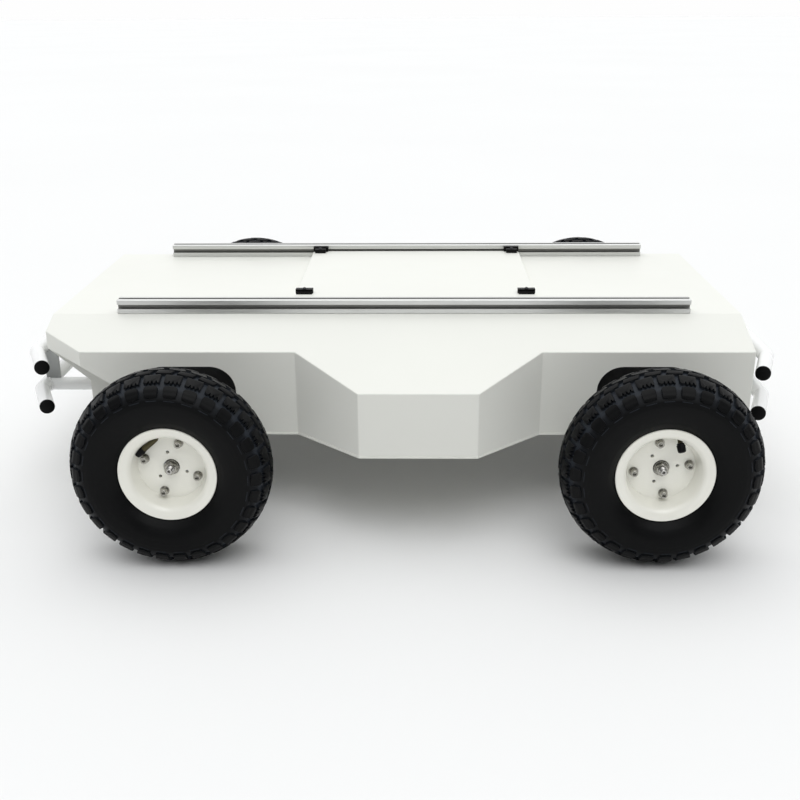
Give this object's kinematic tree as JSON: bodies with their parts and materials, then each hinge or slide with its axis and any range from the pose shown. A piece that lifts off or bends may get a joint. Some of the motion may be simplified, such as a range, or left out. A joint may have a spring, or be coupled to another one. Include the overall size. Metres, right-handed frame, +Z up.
{
  "type": "four wheel robot chassis",
  "caption": "Wheeled robot base with a folded sheet-steel body, T-slot deck rails, a clipped hatch plate, tube bumpers and geared drive wheels on pneumatic tyres.",
  "frame": {"origin": "on the ground under the middle of the overall box", "axes": "+X towards the tail, +Y towards the right-hand side, +Z up; the chamfered nose points to -X"},
  "size_m": [1.077, 0.9002, 0.296],
  "materials": {
    "body_paint": "satin powder coat",
    "bumper_paint": "gloss powder coat",
    "link_steel": "grey primer",
    "rim_paint": "gloss enamel",
    "tyre": "matte rubber",
    "inner_tube": "matte rubber",
    "hub_alloy": "machined",
    "shaft_steel": "ground",
    "zinc_bolts": "zinc plated",
    "black_screws": "black oxide",
    "gearbox_steel": "turned",
    "motor_paint": "satin",
    "black_paint": "satin powder coat",
    "housing_paint": "satin",
    "rail_aluminium": "clear anodised",
    "black_plastic": "moulded",
    "battery_case": "moulded",
    "controller_case": "black anodised"
  },
  "bodies": {
    "chassis": {"axle_housings": "housing_paint", "battery_pack": "battery_case", "bottom_plate": "body_paint", "bumper_caps": "black_plastic", "bumper_links": "link_steel", "clip_screws": "black_screws", "frame_longitudinals": "black_paint", "frame_portals": "black_paint", "front_bumper_bars": "bumper_paint", "front_bumper_stays": "bumper_paint", "front_left_gearbox": "gearbox_steel", "front_left_motor": "motor_paint", "front_panel": "body_paint", "front_right_gearbox": "gearbox_steel", "front_right_motor": "motor_paint", "hatch_clips": "black_plastic", "hatch_plate": "body_paint", "left_rail": "rail_aluminium", "left_side_skin": "body_paint", "motor_controllers": "controller_case", "motor_plates": "black_paint", "rail_bolts": "zinc_bolts", "rear_bumper_bars": "bumper_paint", "rear_bumper_stays": "bumper_paint", "rear_left_gearbox": "gearbox_steel", "rear_left_motor": "motor_paint", "rear_panel": "body_paint", "rear_right_gearbox": "gearbox_steel", "rear_right_motor": "motor_paint", "right_rail": "rail_aluminium", "right_side_skin": "body_paint", "top_cover": "body_paint"},
    "front_left_wheel": {"front_left_axle": "shaft_steel", "front_left_hub": "hub_alloy", "front_left_inner_tube": "inner_tube", "front_left_rim_inner": "rim_paint", "front_left_rim_outer": "rim_paint", "front_left_tyre": "tyre", "front_left_wheel_bolts": "zinc_bolts"},
    "front_right_wheel": {"front_right_axle": "shaft_steel", "front_right_hub": "hub_alloy", "front_right_inner_tube": "inner_tube", "front_right_rim_inner": "rim_paint", "front_right_rim_outer": "rim_paint", "front_right_tyre": "tyre", "front_right_wheel_bolts": "zinc_bolts"},
    "rear_left_wheel": {"rear_left_axle": "shaft_steel", "rear_left_hub": "hub_alloy", "rear_left_inner_tube": "inner_tube", "rear_left_rim_inner": "rim_paint", "rear_left_rim_outer": "rim_paint", "rear_left_tyre": "tyre", "rear_left_wheel_bolts": "zinc_bolts"},
    "rear_right_wheel": {"rear_right_axle": "shaft_steel", "rear_right_hub": "hub_alloy", "rear_right_inner_tube": "inner_tube", "rear_right_rim_inner": "rim_paint", "rear_right_rim_outer": "rim_paint", "rear_right_tyre": "tyre", "rear_right_wheel_bolts": "zinc_bolts"}
  },
  "joints": [
    {"name": "front_left_spin", "type": "hinge", "parent": "chassis", "child": "front_left_wheel", "pos_m": [-0.291, -0.406, 0.131], "axis": [0, 1, 0], "continuous": true},
    {"name": "front_right_spin", "type": "hinge", "parent": "chassis", "child": "front_right_wheel", "pos_m": [-0.291, 0.406, 0.131], "axis": [0, 1, 0], "continuous": true},
    {"name": "rear_left_spin", "type": "hinge", "parent": "chassis", "child": "rear_left_wheel", "pos_m": [0.34, -0.406, 0.131], "axis": [0, 1, 0], "continuous": true},
    {"name": "rear_right_spin", "type": "hinge", "parent": "chassis", "child": "rear_right_wheel", "pos_m": [0.34, 0.406, 0.131], "axis": [0, 1, 0], "continuous": true}
  ]
}
